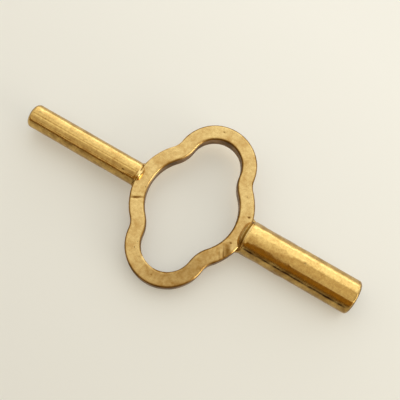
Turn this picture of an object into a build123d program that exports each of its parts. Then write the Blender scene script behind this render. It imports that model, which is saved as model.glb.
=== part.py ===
"""Double-ended clock key: a lobed finger bow with a winding socket at one end
and a small setting socket at the other, silver soldered on one axis.

Millimetres. The origin is the centre of the bow, on the key's long axis.
+X points out of the winding socket, +Y to the side of the bow, +Z out of its face.
"""
from build123d import *
import math
import os

# Bow: two end arcs about the key's centre, two side lobes, hollow throats between them
end_radius = 12.85
lobe_radius = 8.6
lobe_centre = 9.75
throat_radius = 3.85
rim_width = 3.2
bow_thickness = 3.3

# Edges of the bow, broken with a file: a steep bevel down the side, then one across its corner
bow_bevel_width = 0.2
bow_bevel_drop = 0.55
bow_corner_bevel = 0.25

# Flat seat filed into each end arc, where a barrel stands square to the axis
seat_depth = 0.35

# Winding barrel, a No. 8 square
winding_diameter = 7.5
winding_length = 25.1
winding_square = 4.25
winding_square_depth = 14.0
winding_swage_across = 7.2
winding_shoulder_round = 1.0
winding_mouth_bevel = 0.45
winding_tenon_diameter = 2.2
winding_tenon_length = 5.0

# Setting barrel, a No. 00 square
setting_diameter = 5.2
setting_length = 26.0
setting_square = 2.0
setting_square_depth = 8.0
setting_swage_across = 5.05
setting_shoulder_round = 0.6
setting_mouth_bevel = 0.6
setting_tenon_diameter = 2.0
setting_tenon_length = 5.0

# Socket making: the round pilot is a little wider than the square and runs deeper
pilot_relief = 0.08
chip_room = 2.5
drill_point_angle = 118.0
mouth_countersink = 0.35
swage_runout = 1.0

# Tenon joint
tenon_gap = 0.04
tenon_end_gap = 0.3
tenon_chamfer = 0.3

# Bead of solder: how far it runs onto the bow, how far round the barrel's shoulder, and how full it stands
winding_solder_leg = 0.65
winding_solder_wrap_angle = 45.0
setting_solder_leg = 0.85
setting_solder_wrap_angle = 35.0
solder_crown = 0.12

seat_distance = end_radius - seat_depth
bow_half_thickness = bow_thickness / 2

# A square's corners stand half way between its sides
corner_angle = 45


def seat_plane(side):
    """Plane of a seat, looking outwards along the barrel; side is 1 for winding, -1 for setting."""
    return Plane(origin=(side * seat_distance, 0, 0), x_dir=(0, 1, 0), z_dir=(side, 0, 0))


def profile_plane(side):
    """Plane through the axis and two corners of the socket's square.

    Local X runs out along the barrel from its seat, and local Y is the radius.
    """
    upright = Plane(origin=(side * seat_distance, 0, 0), x_dir=(side, 0, 0), z_dir=(0, -side, 0))
    return upright.rotated((corner_angle, 0, 0))


def lobed_outline(inset):
    """The bow's outline, drawn in by inset: every arc keeps its centre."""
    with BuildSketch() as outline:
        Circle(end_radius - inset)
        with Locations((0, lobe_centre), (0, -lobe_centre)):
            Circle(lobe_radius - inset)
        # The end circle and the lobe circles cross at four cusps
        fillet(outline.vertices(), throat_radius + inset)
    return outline.sketch


def build_bow():
    """Lobed rim with bevelled edges, two flat seats and two round tenons."""
    with BuildPart() as bow:
        with BuildSketch():
            add(lobed_outline(0))
            add(lobed_outline(rim_width), mode=Mode.SUBTRACT)
        extrude(amount=bow_half_thickness, both=True)
        for top_or_bottom in (-1, 0):
            face = bow.faces().filter_by(Axis.Z).sort_by(Axis.Z)[top_or_bottom]
            chamfer(face.edges(), bow_bevel_width, bow_bevel_drop, reference=face)
            face = bow.faces().filter_by(Axis.Z).sort_by(Axis.Z)[top_or_bottom]
            chamfer(face.edges(), bow_corner_bevel)
        for side in (1, -1):
            split(bisect_by=seat_plane(side), keep=Keep.BOTTOM)
        tenons = ((1, winding_tenon_diameter, winding_tenon_length),
                  (-1, setting_tenon_diameter, setting_tenon_length))
        for side, diameter, length in tenons:
            # Rooted half way into the rim, so that the round grows out of solid metal
            root_depth = rim_width / 2
            with BuildSketch(seat_plane(side).offset(-root_depth)):
                Circle(diameter / 2)
            extrude(amount=root_depth + length)
            tip = bow.edges().sort_by(Axis.X)[-1 if side > 0 else 0]
            chamfer(tip, tenon_chamfer)
    return bow.part


def build_barrel(side, diameter, length, square, square_depth, swage_across,
                 shoulder_round, mouth_bevel, tenon_diameter, tenon_length):
    """Round barrel with a blind square socket at its mouth and a tenon hole at its seat."""
    radius = diameter / 2
    pilot_radius = square / 2 + pilot_relief
    pilot_end = length - square_depth - chip_room
    point_height = pilot_radius / math.tan(math.radians(drill_point_angle / 2))
    countersink_radius = square / 2 + mouth_countersink
    countersink_depth = countersink_radius - pilot_radius
    swage_start = length - square_depth
    with BuildPart() as barrel:
        with BuildSketch(profile_plane(side)) as outside:
            with BuildLine():
                Polyline((0, 0), (0, radius), (length, radius), (length, 0), close=True)
            make_face()
            fillet(outside.vertices().group_by(Axis.Y)[-1].sort_by(Axis.X)[0], shoulder_round)
            chamfer(outside.vertices().group_by(Axis.Y)[-1].sort_by(Axis.X)[-1], mouth_bevel)
        revolve(axis=Axis.X)
        # Swaging on a square mandrel leaves four shallow flats outside the socket
        with BuildSketch(profile_plane(side)):
            with BuildLine():
                Polyline(
                    (swage_start - swage_runout, radius),
                    (swage_start, swage_across / 2),
                    (length, swage_across / 2),
                    (length, radius),
                    close=True,
                )
            make_face()
        slab = extrude(amount=radius, both=True, mode=Mode.PRIVATE)
        for quarter in range(4):
            add(slab.rotate(Axis.X, corner_angle + 90 * quarter), mode=Mode.SUBTRACT)
        # Pilot drilled past the square, with its drill point and a countersunk mouth
        with BuildSketch(profile_plane(side)):
            with BuildLine():
                Polyline(
                    (length, 0),
                    (length, countersink_radius),
                    (length - countersink_depth, pilot_radius),
                    (pilot_end, pilot_radius),
                    (pilot_end - point_height, 0),
                    close=True,
                )
            make_face()
        revolve(axis=Axis.X, mode=Mode.SUBTRACT)
        with BuildSketch(seat_plane(side).offset(length)):
            Rectangle(square, square)
        extrude(amount=-square_depth, mode=Mode.SUBTRACT)
        with BuildSketch(seat_plane(side)):
            Circle(tenon_diameter / 2 + tenon_gap)
        extrude(amount=tenon_length + tenon_end_gap, mode=Mode.SUBTRACT)
    return barrel.part


def build_solder(side, diameter, shoulder_round, leg, wrap_angle, bow_part):
    """Bead of solder in the corner between the bow and a barrel's rounded shoulder."""
    flat_radius = diameter / 2 - shoulder_round

    def on_shoulder(angle):
        """Point of the shoulder's round, turned by this angle from the barrel's end face."""
        turn = math.radians(angle)
        return (shoulder_round * (1 - math.cos(turn)), flat_radius + shoulder_round * math.sin(turn))

    toe_point = (-leg, bow_half_thickness)
    chord = Vector(*on_shoulder(wrap_angle)) - Vector(*toe_point)
    # The middle of the arc stands outside its chord by a share of its length
    outward = Vector(-chord.Y, chord.X).normalized()
    middle = Vector(*toe_point) + chord / 2 + outward * chord.length * solder_crown
    with BuildPart() as solder:
        with BuildSketch(profile_plane(side)):
            with BuildLine():
                ThreePointArc(toe_point, (middle.X, middle.Y), on_shoulder(wrap_angle))
                ThreePointArc(on_shoulder(wrap_angle), on_shoulder(wrap_angle / 2), on_shoulder(0))
                Polyline(on_shoulder(0), (0, 0), (-leg, 0), toe_point)
            make_face()
        revolve(axis=Axis.X)
        add(bow_part, mode=Mode.SUBTRACT)
    return solder.part


bow = build_bow()
bow.label = "bow"

winding_barrel = build_barrel(
    1, winding_diameter, winding_length, winding_square, winding_square_depth, winding_swage_across,
    winding_shoulder_round, winding_mouth_bevel, winding_tenon_diameter, winding_tenon_length,
)
winding_barrel.label = "winding_barrel"

setting_barrel = build_barrel(
    -1, setting_diameter, setting_length, setting_square, setting_square_depth, setting_swage_across,
    setting_shoulder_round, setting_mouth_bevel, setting_tenon_diameter, setting_tenon_length,
)
setting_barrel.label = "setting_barrel"

winding_solder = build_solder(
    1, winding_diameter, winding_shoulder_round, winding_solder_leg, winding_solder_wrap_angle, bow,
)
winding_solder.label = "winding_solder"

setting_solder = build_solder(
    -1, setting_diameter, setting_shoulder_round, setting_solder_leg, setting_solder_wrap_angle, bow,
)
setting_solder.label = "setting_solder"

os.makedirs("parts", exist_ok=True)
for piece in (bow, winding_barrel, setting_barrel, winding_solder, setting_solder):
    export_step(piece, f"parts/{piece.label}.step")
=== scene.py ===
"""Looks of a double-ended clock key: its brass bow, its two brass barrels and their solder.

Metres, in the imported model's frame: +X points out of the winding socket, +Z out of the bow's face.
"""
import logging
import math
from dataclasses import dataclass
from enum import Enum

import bmesh
import bpy
import numpy as np
from mathutils import Euler, Matrix, Vector, noise


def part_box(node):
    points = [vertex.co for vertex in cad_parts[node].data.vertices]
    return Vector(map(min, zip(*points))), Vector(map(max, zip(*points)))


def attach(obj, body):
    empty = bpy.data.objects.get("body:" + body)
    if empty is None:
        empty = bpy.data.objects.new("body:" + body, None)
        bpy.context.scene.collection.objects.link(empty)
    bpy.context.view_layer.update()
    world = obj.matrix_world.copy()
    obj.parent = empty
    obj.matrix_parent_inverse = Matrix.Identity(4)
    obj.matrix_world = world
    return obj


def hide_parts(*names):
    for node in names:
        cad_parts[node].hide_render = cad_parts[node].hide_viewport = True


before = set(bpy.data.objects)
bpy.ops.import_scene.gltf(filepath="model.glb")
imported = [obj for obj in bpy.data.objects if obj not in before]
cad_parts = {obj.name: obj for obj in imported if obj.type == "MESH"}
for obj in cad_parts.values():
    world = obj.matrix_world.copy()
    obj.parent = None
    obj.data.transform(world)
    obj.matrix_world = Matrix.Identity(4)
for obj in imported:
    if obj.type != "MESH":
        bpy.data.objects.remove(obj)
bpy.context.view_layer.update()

MM = 0.001
IMAGE_SIDE = 400
# Vertex attribute of dirt and painted shade; below 0 it paints highlights
GRIME_AND_PAINTED_LIGHT = "grime_and_painted_light"
# Grime below 0 stands for a painted highlight: metal painted brighter than the rest, down to this much
PAINTED_HIGHLIGHT_DEPTH = 0.3
LOG = logging.getLogger("clock_key")


class Side(Enum):
    """Which end of the key a barrel stands on, as the sign of its X."""

    WINDING = 1
    SETTING = -1


def linear(code: str, alpha: float = 1.0) -> tuple[float, float, float, float]:
    """Turns an sRGB hex value into a linear colour.

    Args:
        code: Six hex digits after a hash sign.
        alpha: The fourth value of the colour.

    Returns:
        Red, green, blue and alpha.
    """
    channels = [int(code[start:start + 2], 16) / 255 for start in (1, 3, 5)]
    red, green, blue = (c / 12.92 if c <= 0.04045 else ((c + 0.055) / 1.055) ** 2.4 for c in channels)
    return red, green, blue, alpha


def add_node(tree: bpy.types.NodeTree, kind: str, *inputs: object, named: dict | None = None,
             **settings: object) -> bpy.types.Node:
    """Adds a node, sets its properties and fills its inputs.

    Args:
        tree: The tree that gets the node.
        kind: Blender's name for the node.
        inputs: In order, a constant, a socket, a node that stands for its first output, or None.
        named: The same by the input's name or number.
        settings: The node's properties.

    Returns:
        The new node.
    """
    node = tree.nodes.new(kind)
    for name, value in settings.items():
        setattr(node, name, value)
    for key, value in [*enumerate(inputs), *(named or {}).items()]:
        if value is None:
            continue
        if isinstance(value, bpy.types.Node):
            value = next(socket for socket in value.outputs if socket.enabled)
        if isinstance(value, bpy.types.NodeSocket):
            tree.links.new(value, node.inputs[key])
        else:
            node.inputs[key].default_value = value
    return node


def new_material(name: str) -> tuple[bpy.types.Material, bpy.types.NodeTree]:
    """Makes an empty node material and returns it with its tree."""
    material = bpy.data.materials.new(name)
    material.use_nodes = True
    material.node_tree.nodes.clear()
    return material, material.node_tree


@dataclass(frozen=True)
class Brass:
    """Brass, worked and handled for years: a golden metal with a thin brown film and dirt in its low places, with
    painted shade and painted highlights laid on where the mesh asks for them.

    Args:
        name: The material's name.
        bright: Colour of the rubbed metal.
        film: Colour of the thin brown film.
        dirt_and_shade: Colour of the dirt in pits and corners, which also paints the shade.
        dirt_and_shade_film: How much more film there is under dirt and painted shade, and how much less under
            painted highlights.
        film_patch: Size of the patches of film.
        film_share: Most that a patch of film covers, from 0 to 1.
        mottle_size: Size of the fine mottling.
        mottle_share: Most that the mottling covers, from 0 to 1.
        roughness: Least and most roughness.
        grain: Size of the fine marks across and along.
        grain_along: Direction of the fine marks.
        grain_depth: Depth of the fine marks.
        peel: Size of the small unevenness.
        peel_depth: Depth of the small unevenness.
        pit_spacing: Distance between the places where a pit can be.
    """

    name: str
    bright: str
    film: str
    dirt_and_shade: str
    dirt_and_shade_film: float
    film_patch: float
    film_share: float
    mottle_size: float
    mottle_share: float
    roughness: tuple[float, float]
    grain: tuple[float, float]
    grain_along: Vector
    grain_depth: float
    peel: float
    peel_depth: float
    pit_spacing: float

    def make(self) -> bpy.types.Material:
        """Builds the material.

        Returns:
            The new material.
        """
        material, tree = new_material(self.name)
        place = add_node(tree, "ShaderNodeTexCoord").outputs["Object"]
        # The grime attribute holds dirt and painted shade, and below 0 painted highlights
        grime_and_painted_light = add_node(tree, "ShaderNodeAttribute", attribute_name=GRIME_AND_PAINTED_LIGHT).outputs["Fac"]
        patches = add_node(tree, "ShaderNodeTexNoise", named={
            "Vector": place, "Scale": 1 / self.film_patch, "Detail": 4.0, "Roughness": 0.6})
        film = add_node(tree, "ShaderNodeMapRange", patches, named={
            "From Min": 0.42, "From Max": 0.68, "To Max": self.film_share}, interpolation_type="SMOOTHSTEP")
        mottle = add_node(tree, "ShaderNodeTexNoise", named={
            "Vector": place, "Scale": 1 / self.mottle_size, "Detail": 3.0, "Roughness": 0.65})
        speckle = add_node(tree, "ShaderNodeMapRange", mottle, named={
            "From Min": 0.35, "From Max": 0.7, "To Max": self.mottle_share})
        covered = add_node(tree, "ShaderNodeMath", film, speckle, operation="ADD")
        covered = add_node(tree, "ShaderNodeMath", grime_and_painted_light, self.dirt_and_shade_film, covered, operation="MULTIPLY_ADD",
                           use_clamp=True)
        toned = add_node(tree, "ShaderNodeMix", data_type="RGBA", named={
            0: covered, 6: linear(self.bright), 7: linear(self.film)})
        uneven = add_node(tree, "ShaderNodeMapRange", patches, named={
            "From Min": 0.3, "From Max": 0.7, "To Min": 0.65, "To Max": 1.15})
        gathered = add_node(tree, "ShaderNodeMath", grime_and_painted_light, uneven, operation="MULTIPLY")
        dirty_and_shaded = add_node(tree, "ShaderNodeMath", gathered, self.pits(tree, place), operation="MAXIMUM",
                         use_clamp=True)
        colour = add_node(tree, "ShaderNodeMix", data_type="RGBA", named={
            0: dirty_and_shaded, 6: toned, 7: linear(self.dirt_and_shade)})
        least, most = self.roughness
        rough = add_node(tree, "ShaderNodeMapRange", patches, named={
            "From Min": 0.3, "From Max": 0.7, "To Min": least, "To Max": most})
        rougher = add_node(tree, "ShaderNodeMath", dirty_and_shaded, 0.25, rough, operation="MULTIPLY_ADD")
        shader = add_node(tree, "ShaderNodeBsdfPrincipled", named={
            "Base Color": colour, "Metallic": 1.0, "Roughness": rougher, "Normal": self.relief(tree, place)})
        add_node(tree, "ShaderNodeOutputMaterial", shader)
        return material

    def pits(self, tree: bpy.types.NodeTree, place: bpy.types.NodeSocket) -> bpy.types.Node:
        """Adds sparse tiny pits of uneven size.

        Args:
            tree: The tree that gets the nodes.
            place: Where on the piece the pattern is read.

        Returns:
            The node that holds how dark a pit is.
        """
        cells = add_node(tree, "ShaderNodeTexVoronoi", named={"Vector": place, "Scale": 1 / self.pit_spacing})
        chance = add_node(tree, "ShaderNodeSeparateColor", cells.outputs["Color"])
        rare = add_node(tree, "ShaderNodeMath", chance.outputs["Red"], 5.0, operation="POWER")
        reach = add_node(tree, "ShaderNodeMath", rare, 0.16, operation="MULTIPLY")
        inside = add_node(tree, "ShaderNodeMath", reach, cells.outputs["Distance"], operation="SUBTRACT")
        return add_node(tree, "ShaderNodeMapRange", inside, named={
            "From Min": 0.0, "From Max": 0.03, "To Min": 0.0, "To Max": 0.75})

    def relief(self, tree: bpy.types.NodeTree, place: bpy.types.NodeSocket) -> bpy.types.Node:
        """Adds the fine marks and the small unevenness.

        Args:
            tree: The tree that gets the nodes.
            place: Where on the piece the pattern is read.

        Returns:
            The node that holds the normal.
        """
        across, along = self.grain
        stretch = Vector((1 / across,) * 3) + self.grain_along * (1 / along - 1 / across)
        stretched = add_node(tree, "ShaderNodeVectorMath", place, stretch, operation="MULTIPLY")
        marks = add_node(tree, "ShaderNodeTexNoise", named={"Vector": stretched, "Scale": 1.0, "Detail": 3.0})
        uneven = add_node(tree, "ShaderNodeTexNoise", named={
            "Vector": place, "Scale": 1 / self.peel, "Detail": 2.0})
        coarse = add_node(tree, "ShaderNodeBump", named={"Height": uneven, "Distance": self.peel_depth})
        return add_node(tree, "ShaderNodeBump", named={
            "Height": marks, "Distance": self.grain_depth, "Normal": coarse})


@dataclass(frozen=True)
class Solder:
    """Silver solder, smooth as it ran and a little paler than the brass, tarnished where it is low.

    Args:
        name: The material's name.
        clean: Colour of the bare solder.
        tarnish: Colour of its low places.
        roughness: Roughness of the bare solder.
    """

    name: str
    clean: str
    tarnish: str
    roughness: float

    def make(self) -> bpy.types.Material:
        """Builds the material and returns it."""
        material, tree = new_material(self.name)
        place = add_node(tree, "ShaderNodeTexCoord").outputs["Object"]
        grime_and_painted_light = add_node(tree, "ShaderNodeAttribute", attribute_name=GRIME_AND_PAINTED_LIGHT).outputs["Fac"]
        cloud = add_node(tree, "ShaderNodeTexNoise", named={"Vector": place, "Scale": 1 / (0.5 * MM), "Detail": 3.0})
        spread = add_node(tree, "ShaderNodeMath", cloud, 0.6, -0.3, operation="MULTIPLY_ADD")
        dull = add_node(tree, "ShaderNodeMath", grime_and_painted_light, spread, operation="ADD", use_clamp=True)
        colour = add_node(tree, "ShaderNodeMix", data_type="RGBA", named={
            0: dull, 6: linear(self.clean), 7: linear(self.tarnish)})
        rough = add_node(tree, "ShaderNodeMath", dull, 0.25, self.roughness, operation="MULTIPLY_ADD")
        skin = add_node(tree, "ShaderNodeBump", named={"Height": cloud, "Distance": 0.01 * MM})
        shader = add_node(tree, "ShaderNodeBsdfPrincipled", named={
            "Base Color": colour, "Metallic": 1.0, "Roughness": rough, "Normal": skin})
        add_node(tree, "ShaderNodeOutputMaterial", shader)
        return material


# Cast brass, filed flat and tumbled: satin, finely mottled, with pits and faint file marks
BOW_BRASS = Brass(
    name="cast_brass_filed", bright="#FFDC90", film="#C08A3C", dirt_and_shade="#4A3410", dirt_and_shade_film=1.2,
    film_patch=3.2 * MM, film_share=0.38, mottle_size=0.7 * MM, mottle_share=0.4, roughness=(0.2, 0.32),
    grain=(0.18 * MM, 1.6 * MM), grain_along=Vector((0.0, 1.0, 0.0)), grain_depth=0.006 * MM,
    peel=0.8 * MM, peel_depth=0.03 * MM, pit_spacing=0.9 * MM,
)
# Drawn brass tube, swaged and burnished: brighter, with fine marks along it
BARREL_BRASS = Brass(
    name="drawn_brass_burnished", bright="#FED680", film="#C48E42", dirt_and_shade="#3C220A", dirt_and_shade_film=0.0,
    film_patch=2.4 * MM, film_share=0.3, mottle_size=0.5 * MM, mottle_share=0.45, roughness=(0.11, 0.22),
    grain=(0.16 * MM, 5.0 * MM), grain_along=Vector((1.0, 0.0, 0.0)), grain_depth=0.006 * MM,
    peel=0.9 * MM, peel_depth=0.03 * MM, pit_spacing=1.2 * MM,
)
# Silver solder, poured in the joints and never polished: pale, smooth and bright where it stands proud
SILVER_SOLDER = Solder(name="silver_solder", clean="#F8D488", tarnish="#8C6420", roughness=0.14)


@dataclass(frozen=True)
class Mark:
    """A blemish sunk into a surface, or, with no depth, a patch of painted shade or painted highlight.

    Args:
        place: Its middle.
        along: Direction of its long way.
        half_length: How far it reaches along that direction.
        half_width: How far it reaches across.
        depth: How deep it is; a negative depth stands proud.
        grime_and_painted_light: How dark the dirt and painted shade in it are, from 0 to 1, or down to -1 how bright
            a highlight is painted there.
    """

    place: Vector
    along: Vector
    half_length: float
    half_width: float
    depth: float
    grime_and_painted_light: float = 0.0


def press_marks(mesh: bpy.types.Mesh, marks: list[Mark], grime_and_painted_light: np.ndarray) -> None:
    """Sinks marks into a mesh along its normals and stores their dirt, painted shade and painted highlights.

    Args:
        mesh: The mesh to change.
        marks: What to press into it.
        grime_and_painted_light: The dirt and painted shade already there, one value for each vertex.
    """
    count = len(mesh.vertices)
    points = np.empty(count * 3)
    normals = np.empty(count * 3)
    mesh.vertices.foreach_get("co", points)
    mesh.vertex_normals.foreach_get("vector", normals)
    points = points.reshape(-1, 3)
    normals = normals.reshape(-1, 3)
    sunk = np.zeros(count)
    for mark in marks:
        along = np.array(mark.along.normalized())
        away = points - np.array(mark.place)
        lengthways = away @ along
        sideways = np.linalg.norm(away - np.outer(lengthways, along), axis=1)
        share = np.exp(-(lengthways / mark.half_length) ** 2 - (sideways / mark.half_width) ** 2)
        sunk += mark.depth * share
        # Marks with grime below 0 clear the grime there: painted highlights
        grime_and_painted_light = grime_and_painted_light + min(mark.grime_and_painted_light, 0.0) * share * (grime_and_painted_light + PAINTED_HIGHLIGHT_DEPTH)
        grime_and_painted_light = np.maximum(grime_and_painted_light, mark.grime_and_painted_light * share) if mark.grime_and_painted_light > 0 else grime_and_painted_light
    points -= normals * sunk[:, None]
    mesh.vertices.foreach_set("co", points.ravel())
    mesh.attributes.new(GRIME_AND_PAINTED_LIGHT, "FLOAT", "POINT").data.foreach_set("value", grime_and_painted_light.astype(np.float32))
    mesh.update()


def finish_piece(name: str, mesh: bpy.types.Mesh, node: str) -> bpy.types.Object:
    """Args:
        name: The piece's name.
        mesh: Its mesh, in the model's frame.
        node: The CAD node that it stands for.

    Returns:
        The finished piece.
    """
    piece = bpy.data.objects.new(name, mesh)
    bpy.context.scene.collection.objects.link(piece)
    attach(piece, "root")
    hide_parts(node)
    LOG.info("%s: %d faces", name, len(mesh.polygons))
    return piece


def ring_mesh(name: str, rings: np.ndarray, closed: bool) -> bpy.types.Mesh:
    """Skins rings of points into a closed mesh whose faces point outwards.

    Args:
        name: The mesh's name.
        rings: Points by ring, by place round the ring, by coordinate.
        closed: Whether the last ring joins the first. Otherwise both ends close on a pole.

    Returns:
        The new mesh.
    """
    count, around = rings.shape[:2]
    points = rings.reshape(-1, 3)
    index = np.arange(count * around).reshape(count, around)
    if closed:
        index = np.vstack([index, index[:1]])
    here, there = index[:-1], index[1:]
    quads = np.stack([here, np.roll(here, -1, 1), np.roll(there, -1, 1), there], axis=-1).reshape(-1, 4)
    faces = quads.tolist()
    if not closed:
        poles = np.array([rings[0].mean(0), rings[-1].mean(0)])
        first, last = len(points), len(points) + 1
        points = np.vstack([points, poles])
        for place in range(around):
            following = (place + 1) % around
            faces.append([first, int(index[0, following]), int(index[0, place])])
            faces.append([last, int(index[-1, place]), int(index[-1, following])])
    corners = points[quads]
    volume = np.einsum("ij,ij->i", corners[:, 0], np.cross(corners[:, 1], corners[:, 2])).sum()
    volume += np.einsum("ij,ij->i", corners[:, 0], np.cross(corners[:, 2], corners[:, 3])).sum()
    if volume < 0:
        faces = [face[::-1] for face in faces]
    mesh = bpy.data.meshes.new(name)
    mesh.from_pydata(points.tolist(), [], faces)
    mesh.polygons.foreach_set("use_smooth", [True] * len(faces))
    mesh.update()
    return mesh


def turned(profile: np.ndarray, side: Side, seat: float, around: int) -> np.ndarray:
    """Revolves a profile about the key's axis.

    Args:
        profile: Distance out along the barrel from its seat, and radius, by ring.
        side: The end of the key.
        seat: Distance of the seat from the key's centre.
        around: Points in each ring.

    Returns:
        Points by ring, by place round the ring, by coordinate.
    """
    angles = np.arange(around) * math.tau / around
    out = side.value * (seat + profile[:, :1]) * np.ones(around)
    return np.stack([out, profile[:, 1:] * np.cos(angles), profile[:, 1:] * np.sin(angles)], axis=-1)


def smooth_step(value: np.ndarray) -> np.ndarray:
    """Goes smoothly from 0 to 1 as the value does."""
    value = np.clip(value, 0.0, 1.0)
    return value * value * (3 - 2 * value)


@dataclass
class Bow:
    """The lobed finger ring, with the two tenons that the barrels hide."""

    end_radius: float = 12.85 * MM
    lobe_radius: float = 8.6 * MM
    throat_radius: float = 3.85 * MM
    rim_width: float = 3.2 * MM
    edge_round: float = 0.42 * MM
    slow_wave: float = 0.1 * MM
    slow_wave_size: float = 5.0 * MM
    quick_wave: float = 0.03 * MM
    quick_wave_size: float = 1.3 * MM
    steps_round: int = 1000
    steps_across: int = 60
    steps_corner: int = 8
    seed: float = 4.0
    # Brown of the unfiled walls: tarnish, and painted shade as well
    wall_tarnish_and_shade: float = 0.85
    tenon_radii: tuple[float, float] = (1.1 * MM, 1.0 * MM)
    tenon_length: float = 5.0 * MM

    def __post_init__(self) -> None:
        """Takes the seats, the reach and the thickness from the frame."""
        self.low, self.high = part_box("bow")
        self.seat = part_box("winding_barrel")[0].x
        self.low.x, self.high.x = -self.seat, self.seat

    def marks(self) -> list[Mark]:
        """The blemishes of the face and its edges, and painted light and shade on them.

        Returns:
            A nick across the rim, casting pits, tool marks by the winding barrel, painted highlights along edges
            and on the face, and painted shade over the lower right of the face.
        """
        face = self.high.z / MM
        spots = [
            ((-10.4, -4.65, face), (1.56, 0.92, 0.0), 1.2, 0.22, 0.2, 0.6),
            ((11.35, 3.35, face), (1.0, 0.0, 0.0), 0.2, 0.18, 0.14, 1.0),
            ((-1.94, 16.7, face), (1.0, 0.0, 0.0), 0.2, 0.14, 0.06, 0.7),
            ((0.26, -16.5, face), (1.0, 1.0, 0.0), 0.2, 0.14, 0.06, 0.7),
            ((10.7, -3.1, face), (1.0, 0.3, 0.0), 0.25, 0.2, 0.08, 0.7),
            ((11.0, -4.9, face), (-0.4, 1.0, 0.0), 1.5, 0.6, 0.03, 0.6),
            ((10.6, -5.9, face), (-0.5, 1.0, 0.0), 1.7, 0.2, 0.07, 0.65),
            ((9.9, -6.4, face), (-0.55, 1.0, 0.0), 1.3, 0.12, 0.05, 0.45),
            # Strips along the edges and patches on the face made brighter: painted highlights
            ((-5.7, 10.3, face - 0.2), (-1.4, -4.6, 0.0), 2.6, 0.7, 0.0, -1.0),
            ((-9.7, 1.2, face - 0.2), (-0.1, 1.0, 0.0), 2.8, 0.7, 0.0, -1.0),
            ((-1.9, -14.9, face - 0.2), (3.0, -1.3, 0.0), 1.8, 0.7, 0.0, -1.0),
            ((8.4, -11.4, face - 0.3), (-0.7, -2.7, 0.0), 1.8, 0.8, 0.0, -1.0),
            ((12.2, -3.8, face - 0.3), (-0.3, 1.0, 0.0), 1.1, 0.7, 0.0, -1.0),
            ((-11.0, 1.8, face), (-0.1, 1.0, 0.0), 3.4, 1.3, 0.0, -1.0),
            ((-8.6, 8.4, face), (0.6, 0.8, 0.0), 4.0, 1.5, 0.0, -0.8),
            # A duller patch over the lower right of the face: painted shade
            ((4.8, -13.0, face), (0.75, 0.66, 0.0), 8.5, 4.5, 0.0, 0.3),
        ]
        return [Mark(Vector(place) * MM, Vector(along), length * MM, width * MM, depth * MM, grime_and_painted_light)
                for place, along, length, width, depth, grime_and_painted_light in spots]

    def throat_centre(self) -> Vector:
        """Centre of the throat's arc, which touches the end arc and the lobe."""
        lobe_centre = self.high.y - self.lobe_radius
        from_end = self.end_radius + self.throat_radius
        from_lobe = self.lobe_radius + self.throat_radius
        height = (from_end ** 2 - from_lobe ** 2 + lobe_centre ** 2) / (2 * lobe_centre)
        return Vector((math.sqrt(from_end ** 2 - height ** 2), height, 0.0))

    def sizes(self) -> dict[str, float | Vector]:
        """The tree's inputs by name."""
        half_rim = self.rim_width / 2
        return {
            "End Radius": self.end_radius - half_rim,
            "Lobe Centre": Vector((0.0, self.high.y - self.lobe_radius, 0.0)),
            "Lobe Radius": self.lobe_radius - half_rim,
            "Throat Centre": self.throat_centre(),
            "Throat Radius": self.throat_radius + half_rim,
            "Rim Width": self.rim_width,
            "Thickness": self.high.z - self.low.z,
            "Edge Round": self.edge_round,
            "Slow Wave": self.slow_wave,
            "Slow Wave Size": self.slow_wave_size,
            "Quick Wave": self.quick_wave,
            "Quick Wave Size": self.quick_wave_size,
            "Seed": self.seed,
            "Low Corner": self.low,
            "High Corner": self.high,
        }

    def tree(self, material: bpy.types.Material) -> tuple[bpy.types.NodeTree, dict[str, str]]:
        """Builds the tree that bends a rounded section round the lobed line.

        Args:
            material: What the rim is made of.

        Returns:
            The tree, and its inputs' identifiers by name.
        """
        tree = bpy.data.node_groups.new("lobed_bow", "GeometryNodeTree")
        tree.interface.new_socket("Geometry", in_out="OUTPUT", socket_type="NodeSocketGeometry")
        identifiers = {}
        for name, value in self.sizes().items():
            kind = "NodeSocketVector" if isinstance(value, Vector) else "NodeSocketFloat"
            identifiers[name] = tree.interface.new_socket(name, in_out="INPUT", socket_type=kind).identifier
        given = add_node(tree, "NodeGroupInput").outputs
        line = self.lobed_line(tree, given)
        section = add_node(tree, "GeometryNodeCurvePrimitiveQuadrilateral", named={
            "Width": given["Rim Width"], "Height": given["Thickness"]})
        rounded = add_node(tree, "GeometryNodeFilletCurve", section, mode="POLY", named={
            "Count": self.steps_corner, "Radius": given["Edge Round"]})
        even = add_node(tree, "GeometryNodeResampleCurve", rounded, named={"Count": self.steps_across})
        rim = add_node(tree, "GeometryNodeCurveToMesh", line, even)
        for wave in ("Slow Wave", "Quick Wave"):
            rim = self.waved(tree, rim, given[wave], given[wave + " Size"], given["Seed"])
        place = add_node(tree, "GeometryNodeInputPosition")
        under = add_node(tree, "ShaderNodeVectorMath", place, given["High Corner"], operation="MINIMUM")
        within = add_node(tree, "ShaderNodeVectorMath", under, given["Low Corner"], operation="MAXIMUM")
        seated = add_node(tree, "GeometryNodeSetPosition", rim, named={"Position": within})
        smooth = add_node(tree, "GeometryNodeSetShadeSmooth", seated)
        real = add_node(tree, "GeometryNodeRealizeInstances", smooth)
        dressed = add_node(tree, "GeometryNodeSetMaterial", real, named={"Material": material})
        add_node(tree, "NodeGroupOutput", dressed)
        return tree, identifiers

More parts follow.
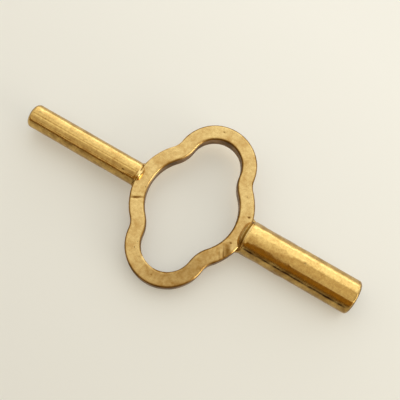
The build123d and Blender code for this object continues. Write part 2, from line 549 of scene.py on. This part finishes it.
    def lobed_line(self, tree: bpy.types.NodeTree, given: bpy.types.bpy_prop_collection) -> bpy.types.Node:
        """Adds the middle line of the rim: end arcs, side lobes and the throats between them.

        Each point of a circle goes out along its own direction to the arc that lies there.

        Args:
            tree: The tree that gets the nodes.
            given: The tree's inputs.

        Returns:
            The node that holds the closed curve.
        """
        circle = add_node(tree, "GeometryNodeCurvePrimitiveCircle", named={
            "Resolution": self.steps_round * 2, "Radius": 1.0})
        place = add_node(tree, "GeometryNodeInputPosition")
        folded = add_node(tree, "ShaderNodeVectorMath", place, operation="ABSOLUTE")
        reach = {}
        for name, turn in (("Lobe", 1.0), ("Throat", -1.0)):
            centre, radius = given[name + " Centre"], given[name + " Radius"]
            along = add_node(tree, "ShaderNodeVectorMath", centre, folded, operation="DOT_PRODUCT")
            far = add_node(tree, "ShaderNodeVectorMath", centre, centre, operation="DOT_PRODUCT")
            near = add_node(tree, "ShaderNodeMath", radius, radius, operation="MULTIPLY")
            power = add_node(tree, "ShaderNodeMath", far, near, operation="SUBTRACT")
            square = add_node(tree, "ShaderNodeMath", along, along, operation="MULTIPLY")
            half = add_node(tree, "ShaderNodeMath", square, power, operation="SUBTRACT")
            chord = add_node(tree, "ShaderNodeMath", half, 0.5, operation="POWER")
            reach[name] = add_node(tree, "ShaderNodeMath", chord, turn, along, operation="MULTIPLY_ADD")
        both = add_node(tree, "ShaderNodeMath", given["Lobe Radius"], given["Throat Radius"], operation="ADD")
        share = add_node(tree, "ShaderNodeMath", given["Lobe Radius"], both, operation="DIVIDE")
        touch = add_node(tree, "ShaderNodeMix", data_type="VECTOR", named={
            0: share, 4: given["Lobe Centre"], 5: given["Throat Centre"]})
        past = []
        for limit in (given["Throat Centre"], touch):
            turned_past = add_node(tree, "ShaderNodeVectorMath", limit, folded, operation="CROSS_PRODUCT")
            upward = add_node(tree, "ShaderNodeSeparateXYZ", turned_past)
            past.append(add_node(tree, "ShaderNodeMath", upward.outputs["Z"], 0.0, operation="GREATER_THAN"))
        beyond_end, beyond_throat = past
        outer = add_node(tree, "ShaderNodeMix", named={0: beyond_throat, 2: reach["Throat"], 3: reach["Lobe"]})
        distance = add_node(tree, "ShaderNodeMix", named={0: beyond_end, 2: given["End Radius"], 3: outer})
        spot = add_node(tree, "ShaderNodeVectorMath", place, named={3: distance}, operation="SCALE")
        bent = add_node(tree, "GeometryNodeSetPosition", circle, named={"Position": spot})
        return add_node(tree, "GeometryNodeResampleCurve", bent, named={"Count": self.steps_round})

    def waved(self, tree: bpy.types.NodeTree, rim: bpy.types.Node, depth: bpy.types.NodeSocket,
              size: bpy.types.NodeSocket, seed: bpy.types.NodeSocket) -> bpy.types.Node:
        """Adds hand-filed unevenness of one size.

        Args:
            tree: The tree that gets the nodes.
            rim: The node that holds the rim.
            depth: How far the surface moves.
            size: How wide the waves are.
            seed: Where the pattern is taken from.

        Returns:
            The node that holds the uneven rim.
        """
        finer = add_node(tree, "ShaderNodeMath", 1.0, size, operation="DIVIDE")
        wave = add_node(tree, "ShaderNodeTexNoise", noise_dimensions="4D", named={
            "W": seed, "Scale": finer, "Detail": 1.0})
        middle = add_node(tree, "ShaderNodeVectorMath", wave.outputs["Color"], Vector((0.5, 0.5, 0.5)),
                          operation="SUBTRACT")
        shift = add_node(tree, "ShaderNodeVectorMath", middle, named={3: depth}, operation="SCALE")
        return add_node(tree, "GeometryNodeSetPosition", rim, named={"Offset": shift})

    def tenons(self) -> list[bpy.types.Mesh]:
        """The two round tenons, rooted in the middle of the rim."""
        meshes = []
        chamfer = 0.3 * MM
        root = -self.rim_width / 2
        for side, radius in zip(Side, self.tenon_radii):
            profile = np.array([(root, radius), (self.tenon_length - chamfer, radius),
                                (self.tenon_length, radius - chamfer)])
            meshes.append(ring_mesh("tenon", turned(profile, side, self.seat, 48), closed=False))
        return meshes

    def tarnish(self, mesh: bpy.types.Mesh) -> np.ndarray:
        """Tarnish of each vertex: the walls, which the file never reached, are brown, and the brown also paints the
        shade on them.
        """
        normals = np.empty(len(mesh.vertices) * 3)
        mesh.vertex_normals.foreach_get("vector", normals)
        upright = 1 - np.abs(normals.reshape(-1, 3)[:, 2])
        return self.wall_tarnish_and_shade * smooth_step((upright - 0.03) / 0.22)

    def build(self) -> bpy.types.Object:
        """Makes the bow.

        Returns:
            The finished piece.
        """
        tree, identifiers = self.tree(BOW_BRASS.make())
        source = bpy.data.objects.new("bow_source", bpy.data.meshes.new("bow_source"))
        bpy.context.scene.collection.objects.link(source)
        modifier = source.modifiers.new("lobed_bow", "NODES")
        modifier.node_group = tree
        for name, value in self.sizes().items():
            modifier[identifiers[name]] = value
        evaluated = source.evaluated_get(bpy.context.evaluated_depsgraph_get())
        rim = bpy.data.meshes.new_from_object(evaluated)
        source.modifiers.remove(modifier)
        bpy.data.objects.remove(source)
        whole = bmesh.new()
        for mesh in (rim, *self.tenons()):
            whole.from_mesh(mesh)
        bmesh.ops.recalc_face_normals(whole, faces=whole.faces)
        whole.to_mesh(rim)
        whole.free()
        press_marks(rim, self.marks(), self.tarnish(rim))
        return finish_piece("brass_bow", rim, "bow")


@dataclass(frozen=True)
class DrawLineAndShadeBand:
    """A line along a barrel, left by the drawing or by a file; with grime it is also a band of painted shade.

    Args:
        angle: Where it lies, from the top towards +Y.
        height: How far it stands proud; a negative height is a groove.
        half_width: How far it reaches to each side.
        grime_and_painted_light: How dark the band of painted shade and dark reflection along it is, from 0 up.
    """

    angle: float
    height: float
    half_width: float
    grime_and_painted_light: float = 0.0


@dataclass
class Barrel:
    """A round barrel with a square socket in its mouth and the hole for the bow's tenon in its seat."""

    name: str
    node: str
    side: Side
    square: float
    square_depth: float
    swage_across: float
    swage_roll: float
    shoulder_round: float
    mouth_round: float
    tenon_hole_radius: float
    lump_depth: tuple[float, float]
    # Darkening of the far and the near side, from 0 to 1: painted shade
    side_shade: tuple[float, float]
    # Lines along the barrel; those with grime are bands of painted shade and dark reflection
    lines: list[DrawLineAndShadeBand]
    marks: list[Mark]
    pilot_relief: float = 0.08 * MM
    chip_room: float = 2.5 * MM
    drill_point_angle: float = math.radians(118)
    countersink: float = 0.35 * MM
    swage_runout: float = 1.6 * MM
    tenon_hole_depth: float = 5.3 * MM
    around: int = 256
    step: float = 0.15 * MM

    def __post_init__(self) -> None:
        """Takes the seat, the length and the radius from the frame."""
        low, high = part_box(self.node)
        near, far = sorted((abs(low.x), abs(high.x)))
        self.seat = near
        self.length = far - near
        self.radius = high.z

    def outside(self) -> list[tuple[float, float]]:
        """Profile of the outside, from the end face's hole to the mouth, as distance out and radius."""
        shoulder, mouth = self.shoulder_round, self.mouth_round
        quarter = np.linspace(0, math.pi / 2, 13)
        end_face = [(0.0, r) for r in np.linspace(self.tenon_hole_radius, self.radius - shoulder, 6)[:-1]]
        round_in = [(shoulder * (1 - math.cos(a)), self.radius - shoulder * (1 - math.sin(a))) for a in quarter]
        steps = int((self.length - shoulder - mouth) / self.step)
        straight = [(s, self.radius) for s in np.linspace(shoulder, self.length - mouth, steps)[1:-1]]
        round_out = [(self.length - mouth * (1 - math.sin(a)), self.radius - mouth * (1 - math.cos(a)))
                     for a in quarter]
        return [*end_face, *round_in, *straight, *round_out]

    def socket(self) -> list[tuple[float, float, float]]:
        """Rings of the socket from the mouth inwards: distance out, round radius and half the square, or 0."""
        half = self.square / 2
        pilot = half + self.pilot_relief
        wide = half + self.countersink
        bottom = self.length - self.square_depth
        rings = [(self.length, wide, half), (self.length - (wide - pilot), pilot, half)]
        rings += [(s, pilot, half) for s in np.linspace(self.length - 1.0 * MM, bottom, 6)]
        end = bottom - self.chip_room
        rings += [(bottom, pilot, 0.0), (end, pilot, 0.0)]
        rings += [(end - 0.9 * pilot / math.tan(self.drill_point_angle / 2), 0.1 * pilot, 0.0)]
        return rings

    def points(self) -> np.ndarray:
        """All the barrel's rings, from the bottom of the tenon hole to the drill point.

        Returns:
            Points by ring, by place round the ring, by coordinate.
        """
        angles = np.arange(self.around) * math.tau / self.around
        from_flat = angles - math.pi / 2 - self.swage_roll
        to_side = np.maximum(np.abs(np.cos(from_flat)), np.abs(np.sin(from_flat)))
        hole, depth = self.tenon_hole_radius, self.tenon_hole_depth
        start = [(depth, 0.1 * hole), (depth, hole), (0.5 * depth, hole), (0.01 * depth, hole)]
        rings = [(s, np.full(self.around, r)) for s, r in start]
        swage_start = self.length - self.square_depth
        for s, radius in self.outside():
            ramp = smooth_step((s - swage_start + self.swage_runout) / self.swage_runout)
            flat = self.radius - ramp * (self.radius - self.swage_across / 2)
            round_ring = np.full(self.around, radius)
            if s > swage_start - self.swage_runout:
                round_ring = np.minimum(round_ring, flat / to_side)
            rings.append((s, round_ring))
        for s, radius, half in self.socket():
            rings.append((s, np.maximum(radius, half / to_side)))
        spread = [np.stack([np.full(self.around, self.side.value * (self.seat + s)),
                            ring * np.cos(angles), ring * np.sin(angles)], axis=-1) for s, ring in rings]
        return np.array(spread)

    def weather(self, points: np.ndarray) -> tuple[np.ndarray, np.ndarray]:
        """Wears the outside unevenly, draws the lines along it, and paints shade: darker sides, dark bands along
        some lines and dark rims at both ends.

        Args:
            points: Points by ring, by place round the ring, by coordinate.

        Returns:
            The worn points, and the painted shade of each point by ring and place.
        """
        out = np.abs(points[..., 0]) - self.seat
        radius = np.hypot(points[..., 1], points[..., 2])
        on_outside = radius > self.radius * 0.86
        swaged = smooth_step((out - (self.length - self.square_depth)) / (3 * MM) + 0.5)
        rough, smooth = self.lump_depth
        lumps = np.array([[noise.noise(Vector((p[0] / (2.6 * MM), p[1] / (1.3 * MM), p[2] / (1.3 * MM))))
                           + 0.4 * noise.noise(Vector(p) / (0.8 * MM)) for p in ring] for ring in points])
        sunk = (rough + (smooth - rough) * swaged) * (0.7 - lumps) / 2
        angle = np.arctan2(points[..., 1], points[..., 2])
        run = smooth_step(out / (1.2 * MM)) * smooth_step((self.length - out) / (2 * MM))
        drawn = np.zeros_like(out)
        # Lines with grime paint dark bands of shade and reflection along the barrel
        for line in self.lines:
            share = run * np.exp(-((angle - line.angle) * self.radius / line.half_width) ** 2)
            sunk -= line.height * share
            drawn = np.maximum(drawn, line.grime_and_painted_light * share * (1 - 0.4 * np.abs(lumps)))
        sunk = np.maximum(sunk, 0.0) * on_outside
        worn = points.copy()
        worn[..., 1:] *= (1 - sunk / np.maximum(radius, 1e-9))[..., None]
        # The sides darken from 35 degrees off the top, by the far and the near side's amounts: painted shade
        far_side, near_side = self.side_shade
        lean = 0.5 + 0.5 * np.sin(angle)
        aside = smooth_step((np.abs(angle) - math.radians(35)) / math.radians(9))
        dirt_and_shade = (near_side + (far_side - near_side) * lean) * aside
        # Dark rims at the seat and at the mouth: painted shade
        ends = 0.5 * np.exp(-(out / (0.25 * MM)) ** 2) + np.exp(-((self.length - out) / (0.5 * MM)) ** 2)
        return worn, np.maximum(np.maximum(dirt_and_shade, drawn), ends)

    def build(self, material: bpy.types.Material) -> bpy.types.Object:
        """Makes the barrel.

        Args:
            material: What it is made of.

        Returns:
            The finished piece.
        """
        points, dirt_and_shade = self.weather(self.points())
        mesh = ring_mesh(self.name, points, closed=False)
        mesh.materials.append(material)
        press_marks(mesh, self.marks, np.append(dirt_and_shade.ravel(), (0.0, 0.0)))
        return finish_piece(self.name, mesh, self.node)


@dataclass
class SolderBead:
    """The bead of solder in the corner between the bow and a barrel."""

    name: str
    node: str
    barrel: Barrel
    leg: float
    wrap: float
    crown: float
    corner: float
    crevice: float
    crevice_place: float = 0.93
    crevice_bend: float = 0.16
    crevice_width: float = 0.07
    lap: float = 0.05 * MM
    unevenness: float = 0.06
    dullness: float = 0.42
    blob_place: Vector | None = None
    blob_size: tuple[float, float] = (0.55 * MM, 0.85 * MM)
    blob_height: float = 0.32 * MM
    around: int = 192
    steps: int = 24

    def rings(self, bow: Bow) -> np.ndarray:
        """The bead's rings: its face from the bow to the barrel, then the way back inside the joint.

        Over the bow's faces the bead is full and has a crevice before it climbs the barrel's shoulder.
        Beside the bow's edges it is a hollow web in the corner.

        Args:
            bow: The bow that the barrel stands on.

        Returns:
            Points by ring, by place round the ring, by coordinate.
        """
        barrel, half_thickness = self.barrel, bow.high.z
        angles = np.arange(self.around) * math.tau / self.around
        height = np.abs(np.sin(angles)) * barrel.radius
        web = smooth_step(1.4 * (1 - height / half_thickness))[None, :]
        side = barrel.radius + self.corner
        bow_edge = math.sqrt(bow.end_radius ** 2 - side ** 2) - barrel.seat
        toe_out = -self.leg + web * (self.leg + bow_edge - 2 * self.lap)
        toe_radius = half_thickness - self.lap + web * (side - half_thickness + self.lap)
        over = barrel.shoulder_round * (1 - math.cos(self.wrap)) + self.lap
        under = barrel.radius - barrel.shoulder_round * (1 - math.sin(self.wrap))
        end_out = over + web * (barrel.shoulder_round + self.corner - over)
        end_radius = under + web * (barrel.radius - 0.5 * self.lap - under)
        share = np.linspace(0, 1, self.steps)[:, None]
        full = 4 * share * (1 - share) * (self.crown - web * (self.crown + 0.16))
        full = full - (1 - web) * self.crevice * self.in_crevice(share, angles)
        out = toe_out + share * (end_out - toe_out) - full * (end_radius - toe_radius)
        radius = toe_radius + share * (end_radius - toe_radius) + full * (end_out - toe_out)
        inside = (barrel.tenon_hole_radius + half_thickness) / 2
        back_out = np.array([0.1 * MM, -0.3 * MM])[:, None] * np.ones(self.around)
        back_radius = np.array([inside, inside])[:, None] * np.ones(self.around)
        out = barrel.side.value * (barrel.seat + np.vstack([out, back_out]))
        radius = np.vstack([radius, back_radius])
        return np.stack([out, radius * np.cos(angles), radius * np.sin(angles)], axis=-1)

    def in_crevice(self, share: np.ndarray, angles: np.ndarray) -> np.ndarray:
        """Finds the crevice, which lies nearest to the bow over the middle of its face.

        Args:
            share: Share of the way from the bow to the barrel, as a column.
            angles: Places round the ring.

        Returns:
            How deep in the crevice each place is, from 0 to 1.
        """
        crevice = self.crevice_place - self.crevice_bend * np.sin(angles) ** 2
        return np.exp(-((share - crevice) / self.crevice_width) ** 2)

    def build(self, bow: Bow, material: bpy.types.Material) -> bpy.types.Object:
        """Makes the bead.

        Args:
            bow: The bow that the barrel stands on.
            material: What it is made of.

        Returns:
            The finished piece.
        """
        points = self.rings(bow)
        share = np.zeros(len(points))
        share[:self.steps] = np.sin(np.linspace(0, math.pi, self.steps))
        lumps = np.array([[noise.noise(Vector(p) / (1.1 * MM)) for p in ring] for ring in points])
        radius = np.hypot(points[..., 1], points[..., 2])
        points[..., 1:] *= (1 + self.unevenness * lumps * share[:, None] * self.leg / radius)[..., None]
        way = np.full(len(points), 0.0)
        way[:self.steps] = np.linspace(0, 1, self.steps)
        angles = np.arange(self.around) * math.tau / self.around
        way = np.repeat(way[:, None], self.around, axis=1)
        before = smooth_step((self.crevice_place - self.crevice_bend * np.sin(angles) ** 2 - way) / 0.1 + 1)
        dirt_and_shade = np.maximum(0.4 - 1.5 * way, 0.8 * self.in_crevice(way, angles)) + self.dullness * before + 0.25
        if self.blob_place is not None:
            away = points - np.array(self.blob_place)
            along, across = self.blob_size
            blob = np.exp(-(away[..., 0] / along) ** 2 - (away[..., 1] / across) ** 2) * (points[..., 2] > 0)
            points[..., 2] += self.blob_height * blob * (share > 0)[:, None]
            dirt_and_shade *= 1 - np.clip(4.0 * blob, 0, 1)
        mesh = ring_mesh(self.name, points, closed=True)
        mesh.materials.append(material)
        press_marks(mesh, [], dirt_and_shade.ravel())
        return finish_piece(self.name, mesh, self.node)


@dataclass
class Lamp:
    """A large soft light that faces the key.

    Args:
        name: Its name.
        azimuth: Where it stands, in degrees from +X towards +Y.
        elevation: Degrees above the table.
        distance: How far from the key.
        size: Width and height.
        radiance: How bright its surface is.
        colour: Its colour.
    """

    name: str
    azimuth: float
    elevation: float
    distance: float
    size: tuple[float, float]
    radiance: float
    colour: str

    def build(self) -> None:
        """Makes the light."""
        round_key, up = math.radians(self.azimuth), math.radians(self.elevation)
        flat = self.distance * math.cos(up)
        place = Vector((flat * math.cos(round_key), flat * math.sin(round_key), self.distance * math.sin(up)))
        lamp = bpy.data.lights.new(self.name, "AREA")
        lamp.shape = "RECTANGLE"
        lamp.size, lamp.size_y = self.size
        # An area lamp of this many watts has a surface of the wanted radiance
        lamp.energy = self.radiance * lamp.size * lamp.size_y * math.pi
        lamp.color = linear(self.colour)[:3]
        light = bpy.data.objects.new(self.name, lamp)
        light.location = place
        light.rotation_euler = place.to_track_quat("Z", "Y").to_euler()
        light.visible_camera = False
        bpy.context.scene.collection.objects.link(light)


@dataclass
class Studio:
    """A pale table, soft lights on the far and the right side, a dark card on the near side, and the camera."""

    table_colour: str = "#D8D5C8"
    table_glow: tuple[float, float] = (0.27, 0.44)
    table_glow_side: Vector = Vector((0.27, 0.96, 0.0))
    table_glow_reach: float = 55.0 * MM
    table_roughness: float = 0.42
    table_side: float = 3.0
    table_drop: float = 3.15 * MM
    table_tilt: float = math.radians(-4.8)
    table_pitch: float = math.radians(-0.8)
    room_dim: str = "#CFC6B6"
    room_bright: str = "#FAFCFF"
    room_bright_side: Vector = Vector((-0.35, 0.94, 0.0))
    room_strength: float = 0.94
    lamps: tuple[Lamp, ...] = (
        Lamp("window_light", 80.0, 30.0, 0.6, (1.2, 0.56), 0.4, "#DCE8FF"),
        Lamp("low_window_light", 85.0, 9.0, 0.6, (1.2, 0.16), 0.7, "#DCE6FF"),
        Lamp("side_light", 0.0, 17.0, 0.6, (0.4, 0.2), 4.0, "#FFFFFF"),
    )
    card_colour: str = "#8A6828"
    rail_colour: str = "#1E1206"
    card_place: float = -0.25
    # Corners of the card, as X and height: it stands lower on the setting side
    card_corners: tuple[tuple[float, float], ...] = (
        (-0.6, 0.0), (0.6, 0.0), (0.6, 0.4), (0.0, 0.4), (-0.08, 0.16), (-0.6, 0.1))
    # The dark edge along the bottom of the card
    rail_corners: tuple[tuple[float, float], ...] = ((-0.6, 0.0), (0.6, 0.0), (0.6, 0.04), (-0.6, 0.03))
    camera_place: Vector = Vector((11.038, -29.077, 128.501)) * MM
    camera_aim: Vector = Vector((0.833, 1.871, 0.0)) * MM
    camera_right: Vector = Vector((0.86510, 0.49896, 0.05147))
    focal_pixels: float = 644.494
    sensor: float = 36.0

    def build_table(self) -> None:
        """Makes the table, which shows only from above."""
        material, tree = new_material("lacquered_table")
        mottle = add_node(tree, "ShaderNodeTexNoise", named={
            "Vector": add_node(tree, "ShaderNodeTexCoord").outputs["Object"], "Scale": 14.0})
        spread = add_node(tree, "ShaderNodeMapRange", mottle, named={
            "To Min": self.table_roughness * 0.9, "To Max": self.table_roughness * 1.1})
        paint = add_node(tree, "ShaderNodeBsdfPrincipled", named={
            "Base Color": linear(self.table_colour), "Roughness": spread})
        # The pale ground that the camera and the metal see, without more light on the key
        rays = add_node(tree, "ShaderNodeLightPath").outputs
        seen = add_node(tree, "ShaderNodeMath", rays["Is Camera Ray"], rays["Is Glossy Ray"], operation="MAXIMUM")
        seen = add_node(tree, "ShaderNodeMath", seen, rays["Is Transmission Ray"], operation="MAXIMUM")
        place = add_node(tree, "ShaderNodeTexCoord").outputs["Object"]
        # The glow grows towards the window's side: painted light on the table
        toward = add_node(tree, "ShaderNodeVectorMath", place, self.table_glow_side, operation="DOT_PRODUCT")
        least, most = self.table_glow
        paler = add_node(tree, "ShaderNodeMapRange", toward.outputs["Value"], named={
            "From Min": -self.table_glow_reach, "From Max": self.table_glow_reach, "To Min": least, "To Max": most})
        glow = add_node(tree, "ShaderNodeMath", seen, paler, operation="MULTIPLY")
        pale = add_node(tree, "ShaderNodeEmission", linear(self.table_colour), glow)
        ground = add_node(tree, "ShaderNodeAddShader", paint, pale)
        clear = add_node(tree, "ShaderNodeBsdfTransparent")
        behind = add_node(tree, "ShaderNodeNewGeometry").outputs["Backfacing"]
        add_node(tree, "ShaderNodeOutputMaterial", add_node(tree, "ShaderNodeMixShader", behind, ground, clear))
        bpy.ops.mesh.primitive_plane_add(size=self.table_side)
        table = bpy.context.object
        table.name = "table"
        table.location.z = -self.table_drop
        table.rotation_euler = Euler((self.table_tilt, self.table_pitch, 0.0))
        table.data.materials.append(material)

    def build_card(self, name: str, colour: str, place: float, corners: tuple[tuple[float, float], ...]) -> None:
        """Makes an upright card that the near sides of the barrels reflect.

        Args:
            name: Its name.
            colour: Its colour.
            place: Its Y.
            corners: Its corners, as X and height.
        """
        material, tree = new_material(name)
        add_node(tree, "ShaderNodeOutputMaterial", add_node(tree, "ShaderNodeBsdfDiffuse", linear(colour)))
        mesh = bpy.data.meshes.new(name)
        mesh.from_pydata([(x, place, z) for x, z in corners], [], [range(len(corners))])
        mesh.materials.append(material)
        card = bpy.data.objects.new(name, mesh)
        card.visible_camera = False
        bpy.context.scene.collection.objects.link(card)

    def build_room(self) -> None:
        """Makes the lights and the pale surroundings, which are brighter on the window's side."""
        for lamp in self.lamps:
            lamp.build()
        world = bpy.data.worlds.new("pale_room")
        world.use_nodes = True
        tree = world.node_tree
        outward = add_node(tree, "ShaderNodeTexCoord").outputs["Generated"]
        toward = add_node(tree, "ShaderNodeVectorMath", outward, self.room_bright_side, operation="DOT_PRODUCT")
        share = add_node(tree, "ShaderNodeMapRange", toward.outputs["Value"], named={
            "From Min": -0.2, "From Max": 0.45}, interpolation_type="SMOOTHSTEP")
        colour = add_node(tree, "ShaderNodeMix", data_type="RGBA", named={
            0: share, 6: linear(self.room_dim), 7: linear(self.room_bright)})
        background = tree.nodes["Background"]
        background.inputs["Strength"].default_value = self.room_strength
        tree.links.new(colour.outputs[2], background.inputs["Color"])
        bpy.context.scene.world = world

    def build_camera(self) -> None:
        """Makes the camera, at the photograph's place and angle."""
        camera = bpy.data.cameras.new("camera")
        camera.sensor_width = self.sensor
        camera.lens = self.sensor * self.focal_pixels / IMAGE_SIDE
        camera.clip_start, camera.clip_end = 0.005, 10.0
        back = (self.camera_place - self.camera_aim).normalized()
        right = (self.camera_right - back * self.camera_right.dot(back)).normalized()
        turn = Matrix((right, back.cross(right), back)).transposed().to_4x4()
        holder = bpy.data.objects.new("camera", camera)
        holder.matrix_world = Matrix.Translation(self.camera_place) @ turn
        bpy.context.scene.collection.objects.link(holder)
        bpy.context.scene.camera = holder

    def build(self) -> None:
        """Makes everything round the key."""
        self.build_camera()
        self.build_table()
        self.build_card("dark_card", self.card_colour, self.card_place, self.card_corners)
        self.build_card("dark_rail", self.rail_colour, self.card_place + MM, self.rail_corners)
        self.build_room()
        bpy.context.scene.view_settings.view_transform = "Standard"


def on_barrel(side: Side, out: float, angle: float, radius: float) -> Vector:
    """Point on a barrel: distance from the key's centre, degrees from the top towards +Y, and radius."""
    turn = math.radians(angle)
    return Vector((side.value * out, radius * math.sin(turn), radius * math.cos(turn)))


def main() -> None:
    """Builds the key and its surroundings."""
    logging.basicConfig(level=logging.INFO, format="%(message)s")
    Studio().build()
    brass = BARREL_BRASS.make()
    solder = SILVER_SOLDER.make()
    along = Vector((1.0, 0.0, 0.0))
    winding = Barrel(
        name="winding_barrel_shell", node="winding_barrel", side=Side.WINDING, square=4.25 * MM,
        square_depth=14.0 * MM, swage_across=7.24 * MM, swage_roll=math.radians(8.5), shoulder_round=0.9 * MM,
        mouth_round=0.85 * MM, tenon_hole_radius=1.14 * MM, lump_depth=(0.16 * MM, 0.016 * MM),
        # The sides are darkened as painted shade
        side_shade=(0.5, 0.6),
        # The lines with a fourth value are dark bands of painted shade and reflection
        lines=[
            DrawLineAndShadeBand(math.radians(-40), -0.008 * MM, 0.12 * MM),
            DrawLineAndShadeBand(math.radians(-25), 0.0, 0.7 * MM, 0.22),
            DrawLineAndShadeBand(math.radians(-53), -0.01 * MM, 0.42 * MM, 1.15),
        ],
        marks=[Mark(on_barrel(Side.WINDING, 25.4 * MM, 6, 3.7 * MM), along, 0.25 * MM, 0.2 * MM, 0.06 * MM, 0.5)],
    )
    setting = Barrel(
        name="setting_barrel_shell", node="setting_barrel", side=Side.SETTING, square=2.0 * MM,
        square_depth=8.0 * MM, swage_across=5.12 * MM, swage_roll=math.radians(8.5), shoulder_round=0.6 * MM,
        mouth_round=0.9 * MM, tenon_hole_radius=1.04 * MM, lump_depth=(0.07 * MM, 0.06 * MM),
        # The sides are darkened as painted shade
        side_shade=(0.5, 0.5), around=320,
        # The lines with a fourth value are dark bands of painted shade and reflection
        lines=[
            DrawLineAndShadeBand(math.radians(-5), -0.05 * MM, 0.13 * MM),
            DrawLineAndShadeBand(math.radians(-20), 0.0, 0.45 * MM, 0.28),
            DrawLineAndShadeBand(math.radians(13), 0.0, 0.4 * MM, 0.16),
            DrawLineAndShadeBand(math.radians(-33), -0.012 * MM, 0.1 * MM),
            DrawLineAndShadeBand(math.radians(-45), 0.012 * MM, 0.1 * MM),
            DrawLineAndShadeBand(math.radians(-52), -0.012 * MM, 0.22 * MM, 0.55),
        ],
        marks=[
            Mark(on_barrel(Side.SETTING, 15.63 * MM, -26, 2.6 * MM), along, 0.22 * MM, 0.17 * MM, 0.14 * MM, 1.0),
            Mark(on_barrel(Side.SETTING, 36.6 * MM, 14, 2.6 * MM), along, 0.4 * MM, 0.28 * MM, 0.02 * MM, 0.5),
        ],
    )
    bow = Bow()
    bow.build()
    winding.build(brass)
    setting.build(brass)
    SolderBead("winding_solder_bead", "winding_solder", winding, leg=1.15 * MM, wrap=math.radians(50), crown=0.2,
               corner=0.6 * MM, crevice=0.07).build(bow, solder)
    SolderBead("setting_solder_bead", "setting_solder", setting, leg=0.85 * MM, wrap=math.radians(50), crown=0.14,
               corner=0.7 * MM, crevice=0.05,
               blob_place=Vector((-12.25, -0.7, 2.2)) * MM).build(bow, solder)


if __name__ == "__main__":
    main()
